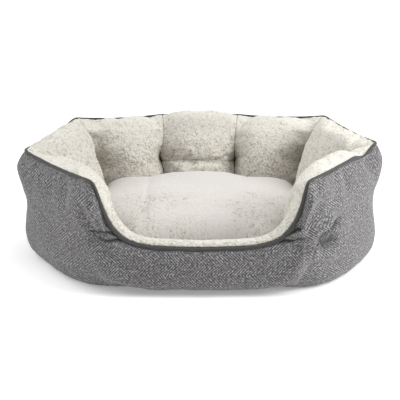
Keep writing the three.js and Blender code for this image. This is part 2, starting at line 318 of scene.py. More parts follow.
# Cross-sections at a seam and in a panel's middle: (inward, share of the height, rise).
OUTER_SEAM = [
    (0, 0, 0), (-6, 0.08, 0), (-7, 0.2, 0), (-3, 0.36, 0),
    (-1, 0.49, 0), (-7, 0.67, 0), (-14.5, 0.86, 0), (-1.5, 1, -2)]
OUTER_MIDDLE = [
    (0, 0, 0), (-8, 0.07, 0), (-12, 0.19, 0), (-12, 0.37, 0),
    (-9, 0.57, 0), (-11, 0.75, 0), (-9, 0.88, 0), (-1.5, 1, -2)]
LINING_SEAM = [
    (1.5, 1, 1), (8, 1, -2), (27, 0.89, 0), (39, 0.73, 0),
    (33, 0.55, 0), (44, 0.42, 0), (57, 0.2, 0), (62, 0, 0)]
LINING_FRONT = [
    (1.5, 1, 1.5), (7, 1, 6), (17, 1, 5), (34, 0.85, 0),
    (62, 0.62, 0), (82, 0.38, 0), (84, 0.2, 0), (78, 0, 0)]
LINING_MIDDLE = [
    (1.5, 1, 1.5), (9, 1, 7), (27, 1, 7), (53, 0.87, 0),
    (77, 0.64, 0), (86, 0.4, 0), (84, 0.2, 0), (78, 0, 0)]

# Where along its panel the fleece stands highest, and by how much, in millimetres.
CRESTS = {1: (0.2, 7), 2: (0.5, -4), 3: (0.55, 7), 4: (0.5, -4), 5: (0.7, 2), FRONT: (0.5, 4)}
# How far each lining seam is pulled along the wall, at its tuft and at its foot.
SEAM_DRIFTS = {3: (-9, -6), 4: (-3, 13), 2: (6, 2), 5: (-6, -3)}
# The sewn crease across the back panel: its depth, and its level and width as shares.
CREASE_DEPTH = 10
CREASE_LEVEL = 0.61
CREASE_WIDTH = 0.03


def corner_at(index):
    return CORNERS[index % len(CORNERS)]


def panel_way(index):
    return corner_at(index + 1).place - corner_at(index).place


def inward_of(index):
    way = panel_way(index)
    return np.array([way[1], -way[0]]) / np.hypot(*way)


def mitre_at(index):
    before, after = inward_of(index - 1), inward_of(index)
    return (before + after) / (1 + before @ after)


def between(first, second, share):
    return first + (second - first) * share


def raised(plan, height):
    """The points of a plan, each with its height."""
    return np.concatenate([plan, height[..., None]], axis=-1)


def wall_at(index, share):
    """The place that share of the way along a panel, and the step inward from it."""
    share = share[..., None]
    place = corner_at(index).place + share * panel_way(index)
    return place, between(mitre_at(index), mitre_at(index + 1), share)


def smoothstep(value):
    held = np.clip(value, 0, 1)
    return held * held * (3 - 2 * held)


def bell(value, width, power=2):
    """1 where the value is 0, and less and less on both sides."""
    return np.exp(-(value / width) ** power)


def unit(ways):
    """The same directions, each with a length of 1."""
    return ways / np.maximum(np.linalg.norm(ways, axis=-1), 1e-9)[..., None]


def bezier(points, t):
    a, b, c, d = [np.array(point, float) for point in points]
    t = t[:, None]
    return a * (1 - t) ** 3 + 3 * b * t * (1 - t) ** 2 + 3 * c * t ** 2 * (1 - t) + d * t ** 3


def lengths_along(line):
    steps = np.linalg.norm(np.diff(line, axis=0), axis=1)
    return np.concatenate([[0], np.cumsum(steps)])


def entrance_curve():
    """The rim of the entrance from right to left: (x, z) points, and the length to each."""
    half = CORNERS[FRONT].place[0]
    top = CORNERS[FRONT].rim
    t = np.linspace(0, 1, 200)
    halves = []
    for (x, z), bulge in (SHOULDER_RIGHT, SHOULDER_LEFT):
        side = bezier([(half, top), (x + bulge, top - 24), (x + bulge, z + 22), (x, z)], t)
        sill = bezier([(x, z), (x - 15, z - 9), (x - 40, SILL_HEIGHT + 1), (0, SILL_HEIGHT)], t)
        halves.append(np.concatenate([side, sill[1:]]))
    line = np.concatenate([halves[0], halves[1][-2::-1] * (-1, 1)])
    return lengths_along(line), line


ENTRANCE_LENGTHS, ENTRANCE_LINE = entrance_curve()


def entrance_at(share):
    length = np.clip(share, 0, 1) * ENTRANCE_LENGTHS[-1]
    return np.stack([np.interp(length, ENTRANCE_LENGTHS, part) for part in ENTRANCE_LINE.T], axis=1)


def rim_of(index, u):
    """For every share in u of the way along a panel: where the wall's foot and its rim are
    along the panel, the rim's height, and the direction over the rim, (along x, up)."""
    if index == FRONT:
        here = entrance_at(u)
        slope = unit(entrance_at(u + 0.004) - entrance_at(u - 0.004))
        edge = np.minimum(u, 1 - u)
        turn = smoothstep(edge / 0.08)[:, None]
        across = np.stack([slope[:, 1], -slope[:, 0]], axis=1)
        over = unit(between(np.array([0.0, 1.0]), across, turn))
        half = 0.5 * (2 * edge) ** FOOT_SPACING
        width = 2 * CORNERS[FRONT].place[0]
        return np.where(u < 0.5, half, 1 - half), (width / 2 - here[:, 0]) / width, here[:, 1], over
    height = between(corner_at(index).rim, corner_at(index + 1).rim, u) - 4 * RIM_SAG * u * (1 - u)
    if index == FRONT_RIGHT:
        height = height - NOTCH_DEPTH * bell(u - NOTCH_PLACE, NOTCH_WIDTH)
    return u, u, height, np.stack([0 * u, 1 + 0 * u], axis=1)


def section_line(section, rows):
    """A smooth run of that many points through a cross-section's few points."""
    table = np.array(section, float)
    flat = np.stack([table[:, 0], table[:, 1] * CORNERS[0].rim + table[:, 2]], axis=1)
    knots = np.concatenate([[0], np.cumsum(np.linalg.norm(np.diff(flat, axis=0), axis=1) ** 0.6)])
    slopes = np.gradient(table, knots, axis=0)
    at = np.linspace(0, knots[-1], rows)
    k = np.clip(np.searchsorted(knots, at, side="right") - 1, 0, len(knots) - 2)
    width = (knots[k + 1] - knots[k])[:, None]
    t = (at - knots[k])[:, None] / width
    return ((2 * t ** 3 - 3 * t ** 2 + 1) * table[k] + (t ** 3 - 2 * t ** 2 + t) * width * slopes[k]
            + (3 * t ** 2 - 2 * t ** 3) * table[k + 1] + (t ** 3 - t ** 2) * width * slopes[k + 1])


STATION_STEP = 6  # about how far apart the stations of a panel are


def panel_steps(index):
    length = ENTRANCE_LENGTHS[-1] if index == FRONT else np.hypot(*panel_way(index))
    return int(round(length / STATION_STEP))


def shares_of(index):
    """How far along its panel each station is, as a share."""
    return np.arange(panel_steps(index)) / panel_steps(index)


STATIONS = {}  # the first station of each panel
STATION_COUNT = 0
for panel_index in PANEL_ORDER:
    STATIONS[panel_index] = STATION_COUNT
    STATION_COUNT += panel_steps(panel_index)
SEAM_STATIONS = [STATIONS[corner] for corner in range(len(CORNERS))]


def panel_grid(index, seam, middle, rows, tucked):
    """One panel up to its next seam: points [station, row, xyz] in millimetres."""
    u = shares_of(index)
    foot, along, height, over = rim_of(index, u)
    full = (1 - np.abs(2 * u - 1) ** (4 if index == FRONT else 2.6)) ** 0.9
    if index == FRONT and not tucked:
        middle = LINING_FRONT
    line = between(section_line(seam, rows)[None], section_line(middle, rows)[None],
                   full[:, None, None])
    inward, share, rise = line[..., 0], line[..., 1], line[..., 2]
    tuck = 0 * share
    if tucked:
        at_seams = between(corner_at(index).foot, corner_at(index + 1).foot, u)
        deep = between(at_seams, corner_at(index).foot_middle, 1 - np.abs(2 * u - 1) ** 2)
        tuck = deep[:, None] * np.clip(1 - share / TUCK_TOP, 0, 1) ** 2
    if index == BACK_CENTRE and not tucked:
        inward = inward - crease_depth(share) * smoothstep(6 * np.minimum(u, 1 - u))[:, None]
    width = np.hypot(*panel_way(index))
    place = between(foot[:, None], along[:, None], share)
    if not tucked:
        rise = rise + crest(index, u)[:, None] * smoothstep(rise / 4)
        drift = [seam_drift(k % len(CORNERS), share) for k in (index, index + 1)]
        sway = drift[0] * (1 - u[:, None]) ** 3 + drift[1] * u[:, None] ** 3
        place = place + sway / width
    if index == FRONT:
        place = place - over[:, :1] * rise / width
    plan, step = wall_at(index, place)
    plan = plan + step * (inward + tuck)[..., None]
    level = between(WALL_BOTTOM, height[:, None], share) + over[:, 1:] * rise
    return raised(plan, level)


def crest(index, u):
    """How much higher than the rest the fleece stands over the rim."""
    if index not in CRESTS:
        return 0 * u
    middle, height = CRESTS[index]
    return height * bell(u - middle, 0.6, 6) * smoothstep(14 * np.minimum(u, 1 - u))


def seam_drift(index, share):
    """How far a lining seam wanders along the wall, in millimetres."""
    at_tuft, at_foot = SEAM_DRIFTS.get(index, (0, 0))
    return at_tuft * bell(share - 0.6, 0.16) + at_foot * smoothstep((0.5 - share) / 0.3)


def crease_depth(share):
    """How deep the back panel's crease is at a share of the height."""
    return CREASE_DEPTH * bell(share - CREASE_LEVEL, CREASE_WIDTH)


def ring_grid(seam, middle, rows, tucked):
    """All the panels side by side, in PANEL_ORDER."""
    return np.concatenate([panel_grid(k, seam, middle, rows, tucked) for k in PANEL_ORDER])


LAID_STEP = 5.0
LAID_HEIGHT = 210


def laid_flat(points, start):
    """Where each point of a ring is on the cloth laid flat: how far round the wall from the
    station start, and how far up, both along the cloth's own surface."""
    levels = np.arange(0, LAID_HEIGHT, LAID_STEP)
    plan = np.array([[np.interp(levels, column[:, 2], column[:, k]) for k in (0, 1)]
                     for column in points]).transpose(0, 2, 1)
    ahead = np.roll(plan, -1, axis=0) - plan
    around = np.concatenate([[0 * levels], np.cumsum(np.hypot(*ahead.transpose(2, 0, 1)), axis=0)])
    length = around[-1]
    around = around[:-1] - around[start]
    around = (around + length / 2) % length - length / 2
    way = ahead + np.roll(ahead, 1, axis=0)
    out = unit(np.stack([way[..., 1], -way[..., 0]], axis=2))
    rise = np.diff(plan, axis=1)
    rise = np.hypot((rise * out[:, 1:]).sum(axis=2), LAID_STEP)
    up = np.concatenate([np.zeros((len(points), 1)), np.cumsum(rise, axis=1)], axis=1)
    middle = len(levels) // 2
    up = up - up[:, middle:middle + 1] + levels[middle]
    flat = [np.array([np.interp(column[:, 2], levels, row) for column, row in zip(points, table)])
            for table in (around, up)]
    return np.stack(flat, axis=2)


def rim_weights():
    """How much the rim is softened at every station."""
    parts = []
    for index in PANEL_ORDER:
        u = shares_of(index)
        parts.append(between(corner_at(index).softness, corner_at(index + 1).softness, u))
    return 0.5 * np.concatenate(parts)[:, None]


def soften(grid, weights, passes=10):
    """Rounds a ring of stations along its length. weights, 0 to 1, are a point's own."""
    for _ in range(passes):
        middle = (np.roll(grid, 1, axis=0) + np.roll(grid, -1, axis=0)) / 2
        grid = grid + (middle - grid) * weights[..., None] * 0.5
    return grid


# ---- meshes

def mesh_object(name, points, faces, cloth=None, material=None):
    """A smooth mesh in metres from points in millimetres, in a grid of any shape. cloth is
    in millimetres too, one pair a point, and becomes the UV map."""
    mesh = bpy.data.meshes.new(name)
    faces = faces if isinstance(faces, list) else faces.tolist()
    mesh.from_pydata((points.reshape(-1, 3) * MM).tolist(), [], faces)
    mesh.polygons.foreach_set("use_smooth", [True] * len(mesh.polygons))
    if cloth is not None:
        layer = mesh.uv_layers.new(name="cloth")
        corners = np.concatenate([np.array(face) for face in faces])
        layer.data.foreach_set("uv", (cloth.reshape(-1, 2) * MM)[corners].ravel())
    if material:
        mesh.materials.append(material)
    return add_object(name, mesh)


def grid_faces(rows, columns, wraps=False, loops=False):
    """Quads over a grid of points. wraps joins its last row to its first, and loops does
    the same with columns."""
    i, j = np.meshgrid(np.arange(rows if wraps else rows - 1),
                       np.arange(columns if loops else columns - 1), indexing="ij")
    below, beside = (i + 1) % rows, (j + 1) % columns
    corners = [i * columns + j, i * columns + beside, below * columns + beside, below * columns + j]
    return np.stack(corners, axis=2).reshape(-1, 4)


def capped_faces(count, around):
    """The faces over a row of loops, with a cap at both ends."""
    last = (count - 1) * around
    caps = [list(range(around)), list(range(last + around - 1, last - 1, -1))]
    return grid_faces(count, around, loops=True)[:, ::-1].tolist() + caps


def hemmed(points, cloth, depth=3.0, overlap=0.0):
    """A grid with its edges turned under by that depth. overlap widens it at both ends
    first, so that it presses against its neighbours."""
    for end, beside in ((0, 1), (-1, -2)):
        points[end] += overlap * unit(points[end] - points[beside])
    out = unit(-np.cross(np.gradient(points, axis=0), np.gradient(points, axis=1)))
    points, out, cloth = [np.pad(grid, ((1, 1), (1, 1), (0, 0)), mode="edge")
                          for grid in (points, out, cloth)]
    out[1:-1, 1:-1] = 0
    return points - out * depth, cloth


def subdivide(obj, levels):
    """Replaces the mesh by a smoother one."""
    modifier = obj.modifiers.new("subdivide", "SUBSURF")
    modifier.levels = levels
    modifier.boundary_smooth = "PRESERVE_CORNERS"
    graph = bpy.context.evaluated_depsgraph_get()
    smoother = bpy.data.meshes.new_from_object(
        obj.evaluated_get(graph), preserve_all_data_layers=True, depsgraph=graph)
    obj.modifiers.clear()
    obj.data = smoother


def read_points(obj, what="co"):
    flat = np.empty(len(obj.data.vertices) * 3)
    obj.data.vertices.foreach_get(what, flat)
    return flat.reshape(-1, 3)


def write_points(obj, points):
    obj.data.vertices.foreach_set("co", points.ravel())
    obj.data.update()


def set_attribute(obj, name, values):
    attribute = obj.data.attributes.new(name, "FLOAT", "POINT")
    attribute.data.foreach_set("value", np.ascontiguousarray(values, dtype=np.float32))


def get_attribute(obj, name):
    values = np.empty(len(obj.data.vertices), dtype=np.float32)
    obj.data.attributes[name].data.foreach_get("value", values)
    return values.astype(float)


STITCH_REACH = 1.5  # how far from its stitches the pile is pressed down
PILE_HEIGHT = 1.8 * MM


def raise_pile(obj, salt, parted, sewn):
    """Turns a smooth sheet into sherpa, and keeps the pile's height for the material, which uses it
    for painted shade where the pile stands low. parted is how open the pile stands, and sewn how
    far each point is from the nearest stitches."""
    points = read_points(obj)
    out = read_points(obj, "normal")
    pile_height_and_shade = sherpa_pile(points, salt, parted)
    pile_height_and_shade = pile_height_and_shade * (1 - bell(sewn, STITCH_REACH))
    write_points(obj, points + out * (pile_height_and_shade[:, None] - 0.6) * PILE_HEIGHT)
    set_attribute(obj, "pile_height_and_shade", pile_height_and_shade)
    set_attribute(obj, "parted", parted)


# ---- cloth simulation

CLOTH_FRAMES = 20
CLOTH_SETTINGS = {
    "quality": 4, "mass": 0.3, "tension_stiffness": 12, "compression_stiffness": 12,
    "shear_stiffness": 6, "vertex_group_mass": "held", "use_pressure": True}


def inflate(ring, held, pressure, growth, bend, cap, slide):
    """Lets a ring of cloth billow. held is how firmly each point is sewn down, growth is how
    much too large the cloth is for its place, cap is the furthest that a point may move, and
    slide is the share of its move along the cloth that it keeps."""
    points, held = ring.reshape(-1, 3), held.ravel()
    obj = mesh_object("billowing", ring, grid_faces(*ring.shape[:2], wraps=True))
    group = obj.vertex_groups.new(name="held")
    for level in np.unique(held[held > 0]):
        group.add(np.flatnonzero(held == level).tolist(), float(level), "REPLACE")
    cloth = obj.modifiers.new("cloth", "CLOTH")
    for name, value in CLOTH_SETTINGS.items():
        setattr(cloth.settings, name, value)
    cloth.settings.bending_stiffness = bend
    cloth.settings.shrink_min = -growth
    cloth.settings.uniform_pressure_force = pressure
    cloth.settings.effector_weights.gravity = 0
    cloth.collision_settings.use_collision = False
    cloth.point_cache.frame_start = 1
    cloth.point_cache.frame_end = CLOTH_FRAMES
    for step in range(1, CLOTH_FRAMES + 1):
        bpy.context.scene.frame_set(step)
    graph = bpy.context.evaluated_depsgraph_get()
    moved = read_points(obj.evaluated_get(graph)) / MM - points
    out = read_points(obj, "normal")
    straight = (moved * out).sum(axis=1)[:, None] * out
    moved = straight + (moved - straight) * slide
    bpy.data.objects.remove(obj)
    bpy.context.scene.frame_set(1)
    far = np.linalg.norm(moved, axis=1)
    points = points + moved * (cap * np.tanh(far / cap) / np.maximum(far, 1e-6))[:, None]
    return points.reshape(ring.shape)


# ---- the wall's pieces

OUTER_ROWS = 28
LINING_ROWS = 54
TUFT_LEVEL = 0.55
SILL_HELD = 0.8  # the front lining is sewn down above that share of the height
SEAM_PASSES = 2
TUFT_DEPTH = 10
TUFT_RADIUS = 12
TUFT_PINCH = 3.5  # how far from a tuft its stitches reach
CREASE_FADE = 2.0  # how much less the crease shows in the middle than at its tufts
SIDES = (1, 5)  # the panels where the pile stands more open
SIDE_STRETCH = 1.3  # the cloth is pulled that much along the wall beside the entrance
# The lowest that the cover, the lining and the fill reach.
FLOOR_GAP = 0.4
LINING_BOTTOM = 4.0
FILL_BOTTOM = 2.5
FILL_INSET = 7
PIPING_RADIUS = 2.6
CORD_RADIUS = 1.5
CORD_TURN = np.arange(12) / 12 * 2 * math.pi  # the places around a cord
KNOT_RADIUS = 1.6
# Ripples of the outer cover: height in millimetres, size, and the noise's number.
RIPPLES = ((1.2, 34 * MM, 71), (0.5, 13 * MM, 72))


def nearest_row(section, rows, share):
    """The row of a cross-section that is nearest to that share of the height."""
    return int(np.argmin(np.abs(section_line(section, rows)[:, 1] - share)))


OUTER_TUFT_ROW = nearest_row(OUTER_SEAM, OUTER_ROWS, TUFT_LEVEL)
LINING_TUFT_ROW = nearest_row(LINING_SEAM, LINING_ROWS, TUFT_LEVEL)


def span_of(panels):
    """The first station of some panels in a row, and how many steps they take."""
    return STATIONS[panels[0]], sum(panel_steps(index) for index in panels)


def run_of(index):
    """The stations of one panel."""
    return slice(STATIONS[index], STATIONS[index] + panel_steps(index))


def outer_ring():
    points = ring_grid(OUTER_SEAM, OUTER_MIDDLE, OUTER_ROWS, True)
    depth = (OUTER_ROWS - 1 - np.arange(OUTER_ROWS)) / (OUTER_ROWS - 1)
    weights = between(rim_weights(), 1.0, smoothstep(depth / 0.2)[None])
    points = soften(points, weights)
    held = np.zeros(points.shape[:2])
    held[:, (0, -1)] = 1
    held[SEAM_STATIONS, OUTER_TUFT_ROW] = 0.6
    return inflate(points, held, pressure=1.5, growth=0.03, bend=0.6, cap=5, slide=0.0)


def lining_ring():
    points = ring_grid(LINING_SEAM, LINING_MIDDLE, LINING_ROWS, False)
    depth = np.arange(LINING_ROWS) / (LINING_ROWS - 1)
    points = soften(points, rim_weights() * (1 - smoothstep(depth / 0.3))[None])
    held = np.zeros(points.shape[:2])
    held[:, (0, -1)] = 1
    held[SEAM_STATIONS, :] = 1
    held[run_of(BACK_CENTRE), nearest_row(LINING_MIDDLE, LINING_ROWS, CREASE_LEVEL)] = 0.9
    held[run_of(FRONT), :nearest_row(LINING_FRONT, LINING_ROWS, SILL_HELD)] = 1
    moved = inflate(points, held, pressure=3.0, growth=0.06, bend=0.3, cap=9, slide=0.6)
    near = np.zeros(STATION_COUNT)
    near[SEAM_STATIONS] = 1
    near = np.maximum(near, np.maximum(np.roll(near, 1), np.roll(near, -1)) * 0.5)
    moved = soften(moved, near[:, None], SEAM_PASSES)
    for index, station in enumerate(SEAM_STATIONS):
        away = np.linalg.norm(moved - moved[station, LINING_TUFT_ROW], axis=2)
        pull = TUFT_DEPTH * bell(away, TUFT_RADIUS)
        moved[..., :2] -= pull[..., None] * mitre_at(index)
    return moved


def stations_of(panels, grid):
    """The part of a ring that covers those panels, both end seams included."""
    first, count = span_of(panels)
    return grid[np.arange(first, first + count + 1) % STATION_COUNT].copy()


# Folds in the outer cover near the two front tufts. Places are (how far round the wall from
# the middle of the entrance, clockwise from above, height). A fold has its line, which fades
# toward its end, its width, how far it stands out, and how dark the painted shade in its crease is.
FOLDS = [
    ([(126, 101), (141, 106), (156, 107), (172, 103)], 3.2, -3.2, 0.9),
    ([(111, 93), (127, 94), (140, 93), (151, 96), (162, 102)], 3.4, -3.6, 1.1),
    ([(128, 98), (140, 99), (152, 100)], 5.0, 2.5, 0.0),
    ([(134, 109), (150, 117), (166, 130)], 6.0, 2.0, 0.0),
    ([(127, 106), (138, 116), (150, 127)], 7.0, -2.5, 0.3),
    ([(134, 82), (150, 84), (168, 92)], 9.0, 2.5, 0.0),
    ([(-193, 90), (-209, 93), (-228, 99), (-254, 113)], 6.0, -9.0, 1.1),
    ([(-178, 101), (-200, 109), (-233, 123)], 10.0, 9.0, 0.0),
    ([(-200, 77), (-217, 77), (-238, 82)], 12.0, -10.0, 0.8),
    ([(-118, 91), (-134, 93), (-149, 96), (-165, 98)], 3.2, -3.5, 1.0),
    ([(-132, 104), (-143, 110), (-160, 116)], 3.4, -3.5, 0.9),
    ([(-136, 99), (-150, 103), (-165, 106)], 5.0, 2.5, 0.0),
    ([(-166, 94), (-180, 74), (-194, 56)], 8.0, 4.0, 0.0),
    ([(-140, 84), (-158, 76), (-170, 62)], 10.0, -3.0, 0.15),
]
# The tufts themselves: the place, the radius and the depth. A knot stands below the first.
TUFTS = [
    ((-188, 90), 10, 5),
    ((162, 106), 12, 3),
]
KNOTS = [
    ((-184, 82), 6, 6),
]


def along_line(around, level, line):
    """How far each point is from a bent line, and how far along it as a share."""
    best = np.full(around.shape, np.inf)
    share = np.zeros(around.shape)
    lengths = lengths_along(np.array(line, float))
    for k, (start, end) in enumerate(zip(line, line[1:])):
        way = np.array(end, float) - start
        past, above = around - start[0], level - start[1]
        t = np.clip((past * way[0] + above * way[1]) / (way @ way), 0, 1)
        distance = np.hypot(past - t * way[0], above - t * way[1])
        closer = distance < best
        best = np.where(closer, distance, best)
        share = np.where(closer, between(lengths[k], lengths[k + 1], t) / lengths[-1], share)
    return best, share


def folded(around, level):
    """How far the folds and tufts move the outer cover out, in millimetres, and how strong the
    painted shade is at each point, in the folds' creases and on one side of the knot: 0 outside
    them, and 1 or a little more at a crease's bottom."""
    lift, crease_and_painted_shade = 0 * around, 0 * around
    for line, width, height, painted_darkness in FOLDS:
        distance, share = along_line(around, level, line)
        taper = smoothstep((1 - share) / 0.5) * 0.9 + 0.1
        profile = bell(distance, width) * taper
        lift = lift + height * profile
        # painted shade along the fold's crease
        crease_and_painted_shade = np.maximum(crease_and_painted_shade, painted_darkness * bell(1.5 * distance, width) * taper)
    for place, radius, depth in TUFTS:
        distance = np.hypot(around - place[0], level - place[1])
        lift = lift - depth * bell(distance, radius)
    for place, radius, height in KNOTS:
        distance = np.hypot(around - place[0], level - place[1])
        lift = lift + height * bell(distance, radius, 4)
        # painted shadow: a dark arc on one side of the knot, as if the knot shaded the cloth there
        side = np.clip(0.5 - (around - place[0]) / radius, 0, 1)
        crease_and_painted_shade = np.maximum(crease_and_painted_shade, 0.6 * side * bell(distance - radius * 1.1, 2))
    return lift, crease_and_painted_shade


def outer_cover(name, panels, ring, material):
    """One half of the outer cover, with its ripples, and its folds beside the entrance."""
    first, count = span_of(panels)
    flat = laid_flat(ring, first + count // 2)
    grid, flat = hemmed(stations_of(panels, ring), stations_of(panels, flat))
    grid[..., 2] = np.maximum(grid[..., 2], FLOOR_GAP)
    stretched = flat.copy()
    if FRONT in panels:
        entrance = np.clip(flat[..., 0], -CORNERS[FRONT].place[0], CORNERS[FRONT].place[0])
        stretched[..., 0] = between(entrance, flat[..., 0], 1 / SIDE_STRETCH)
    obj = mesh_object(name, grid, grid_faces(*grid.shape[:2]), stretched, material)
    set_attribute(obj, "around", flat[..., 0].ravel())
    subdivide(obj, 2)
    points, out = read_points(obj), read_points(obj, "normal")
    level = points[:, 2] / MM
    lift, crease_and_painted_shade = 0 * level, 0 * level
    if FRONT in panels:
        lift, crease_and_painted_shade = folded(get_attribute(obj, "around"), level)
    lift += sum(height * smooth_noise(points, size, salt) for height, size, salt in RIPPLES)
    inside = smoothstep(level / 12)
    points = points + out * (lift * inside * MM)[:, None]
    points[:, 2] = np.maximum(points[:, 2], FLOOR_GAP * MM)
    write_points(obj, points)
    # painted shade in the folds' creases and beside the knot, kept for the weave's material
    set_attribute(obj, "crease_and_painted_shade", crease_and_painted_shade)
    return obj


def lining_panel(index, ring, material):
    """One panel of the fleece lining, hemmed and pressed against its neighbours."""
    grid = stations_of([index], ring)
    sewn = sewn_distance(index, grid)
    grid, sewn = hemmed(grid, sewn[..., None], depth=5.0, overlap=2.5)
    grid[..., 2] = np.maximum(grid[..., 2], LINING_BOTTOM)
    name = "lining_" + CORNERS[index].panel + "_sherpa"
    obj = mesh_object(name, grid, grid_faces(*grid.shape[:2]), material=material)
    set_attribute(obj, "sewn", sewn.ravel())
    subdivide(obj, 2)
    height = read_points(obj)[:, 2] / MM
    top = smoothstep((height - 130) / 60)
    parted = 0.95 - 0.2 * top
    if index in SIDES:
        parted *= 1.1
    if index == FRONT:
        parted = np.full(len(height), 0.85)
    raise_pile(obj, 100 + index, parted, get_attribute(obj, "sewn"))
    return obj


def sewn_distance(index, grid):
    """How far each point of a lining panel is from its stitches: the seams, the tufts and,
    on the back panel, the crease between the tufts."""
    stations, rows = grid.shape[:2]
    along = np.arange(stations) * STATION_STEP
    sewn = np.minimum(along, along[::-1])[:, None] + np.zeros((1, rows))
    for end in (0, -1):
        from_tuft = np.linalg.norm(grid - grid[end, LINING_TUFT_ROW], axis=2)
        sewn = np.minimum(sewn, np.maximum(from_tuft - TUFT_PINCH, 0))
    if index == BACK_CENTRE:
        crease_and_painted_shade = grid[:, nearest_row(LINING_MIDDLE, rows, CREASE_LEVEL)][:, None]
        open_middle = CREASE_FADE * np.sin(np.arange(stations) / (stations - 1) * math.pi)
        sewn = np.minimum(sewn, np.linalg.norm(grid - crease_and_painted_shade, axis=2) + open_middle[:, None])
    return sewn


def rim_line():
    """The piping's centre line, and the directions inward and over the rim."""
    centre, inward, over = [], [], []
    for index in PANEL_ORDER:
        u = shares_of(index)
        _, along, height, out = rim_of(index, u)
        plan, step = wall_at(index, along)
        lean = out[:, :1] * (index == FRONT)
        centre.append(np.column_stack([plan, height]))
        inward.append(np.column_stack([step, 0 * height]))
        over.append(np.column_stack([lean, 0 * height, out[:, 1]]))
    lines = [np.concatenate(part)[:, None] for part in (centre, inward, over)]
    return [soften(line, rim_weights())[:, 0] for line in lines]


def tube(name, line, radius, material, closed=True):
    """Cloth or cord round a line, which has points and the two directions across it at each.
    radius is one number for each point, or one for each of the places around it too."""
    centre, side, up = line
    count, turn = len(centre), CORD_TURN[None, :, None]
    ring = side[:, None] * np.cos(turn) + up[:, None] * np.sin(turn)
    points = centre[:, None] + ring * np.broadcast_to(radius, (count, len(CORD_TURN)))[..., None]
    girth = CORD_TURN[None] * np.max(radius)
    cloth = np.stack(np.broadcast_arrays(lengths_along(centre)[:, None], girth), axis=2)
    if closed:
        faces = grid_faces(count, len(CORD_TURN), wraps=True, loops=True)[:, ::-1]
    else:
        faces = capped_faces(count, len(CORD_TURN))
    return mesh_object(name, points, faces, cloth, material)


def rim_piping(material):
    """The cloth round the cord, slightly uneven."""
    line = rim_line()
    at = np.arange(STATION_COUNT)
    ripple = 0.12 * np.sin(at * 1.9) + 0.1 * np.sin(at * 0.7)
    obj = tube("rim_piping_cloth", line, (PIPING_RADIUS + ripple)[:, None], material)
    subdivide(obj, 1)
    return obj


def finer(line, times):
    """A closed line with more points, evenly between those it has."""
    count = len(line)
    at = np.arange(count * times) / times
    closed = np.concatenate([line, line[:1]])
    return np.stack([np.interp(at, np.arange(count + 1), part) for part in closed.T], axis=1)


def plied(length, radius, lay):
    """The radius of a cord of three plies: one row for each place along it."""
    twist = 3 * CORD_TURN[None] - 2 * math.pi * length[:, None] / lay
    return radius * (1 + 0.14 * np.cos(twist))


def piping_cord(material):
    line = [finer(part, 3) for part in rim_line()]
    radius = plied(lengths_along(line[0]), CORD_RADIUS, 5.0)
    return tube("rim_piping_cord_plies", line, radius, material)


def tuft_tie(number, outer, lining, material):
    """The thread that draws the wall together at a corner, with a knot at each end."""
    station = SEAM_STATIONS[number]
    start = outer[station, OUTER_TUFT_ROW]
    end = lining[station, LINING_TUFT_ROW]
    way = unit(end - start)
    start, end = start + way * 1.0, end - way * 2.0
    length = np.linalg.norm(end - start)
    at = np.linspace(0, length, 60)
    side = unit(np.cross(way, (0, 0, 1)))
    knots = KNOT_RADIUS * bell(at, KNOT_RADIUS) + KNOT_RADIUS * bell(length - at, KNOT_RADIUS)
    radius = plied(at, 1.0, 4.0) + knots[:, None]
    centre = start + at[:, None] * way
    axes = [np.repeat(axis[None], len(at), axis=0) for axis in (side, np.cross(side, way))]
    name = "tuft_tie_%d_thread" % (number + 1)
    return tube(name, (centre, *axes), radius, material, closed=False)


def wall_fill(index, outer, lining, material):
    """The fibre inside one panel, a little inside its two cloths."""
    levels = np.linspace(0.05, 0.9, 15)
    stations = [stations_of([index], grid)[2:-2] for grid in (outer, lining[:, ::-1])]
    rows = [grid[:, (levels * (grid.shape[1] - 1)).astype(int)] for grid in stations]
    across = rows[1] - rows[0]
    width = np.linalg.norm(across, axis=2)[..., None]
    way = across / np.maximum(width, 1e-6)
    outer_side = rows[0] + way * np.minimum(FILL_INSET * 2.4, 0.4 * width)
    lining_side = rows[1] - way * np.minimum(FILL_INSET, 0.25 * width)
    loops = np.concatenate([outer_side, lining_side[:, ::-1]], axis=1)
    outward = inward_of(index) * 1.5 * smooth_noise(loops.reshape(-1, 3), 16, 500 + index)[:, None]
    loops[..., :2] += outward.reshape(*loops.shape[:2], 2)
    loops[..., 2] = np.maximum(loops[..., 2], FILL_BOTTOM)
    faces = [face[::-1] for face in capped_faces(*loops.shape[:2])]
    name = "wall_fill_" + CORNERS[index].panel + "_fibre"
    return mesh_object(name, loops, faces, material=material)


def spun(name, outline, profile, material, uneven=0.0):
    """A flat pad: its outline drawn again and again at each (share, height) of a profile
    that runs from the middle below, round the edge, to the middle above."""
    rings = [np.column_stack([outline * share, np.full(len(outline), height)])
             for share, height in profile]
    points = np.stack(rings, axis=1)
    if uneven:
        wave = smooth_noise(points.reshape(-1, 3) * (MM, MM, 0), 26 * MM, 61)
        above = points[..., 2] > profile[0][1]
        points[..., 2] += uneven * wave.reshape(above.shape) * above
    count, rows = points.shape[:2]
    faces = grid_faces(count, rows, wraps=True).tolist()
    faces.append([k * rows for k in range(count)])
    faces.append([k * rows + rows - 1 for k in range(count - 1, -1, -1)])
    return mesh_object(name, points, faces, points[..., :2], material)


def pad_profile(bottom, top, rings=14):
    """A profile for spun: flat below and above, with a rounded edge."""
    shares = list(np.linspace(0.04, 0.985, rings))
    middle = (bottom + top) / 2
    return ([(share, bottom) for share in shares] + [(1.0, middle)]
            + [(share, top) for share in reversed(shares)])


# ---- the cushion

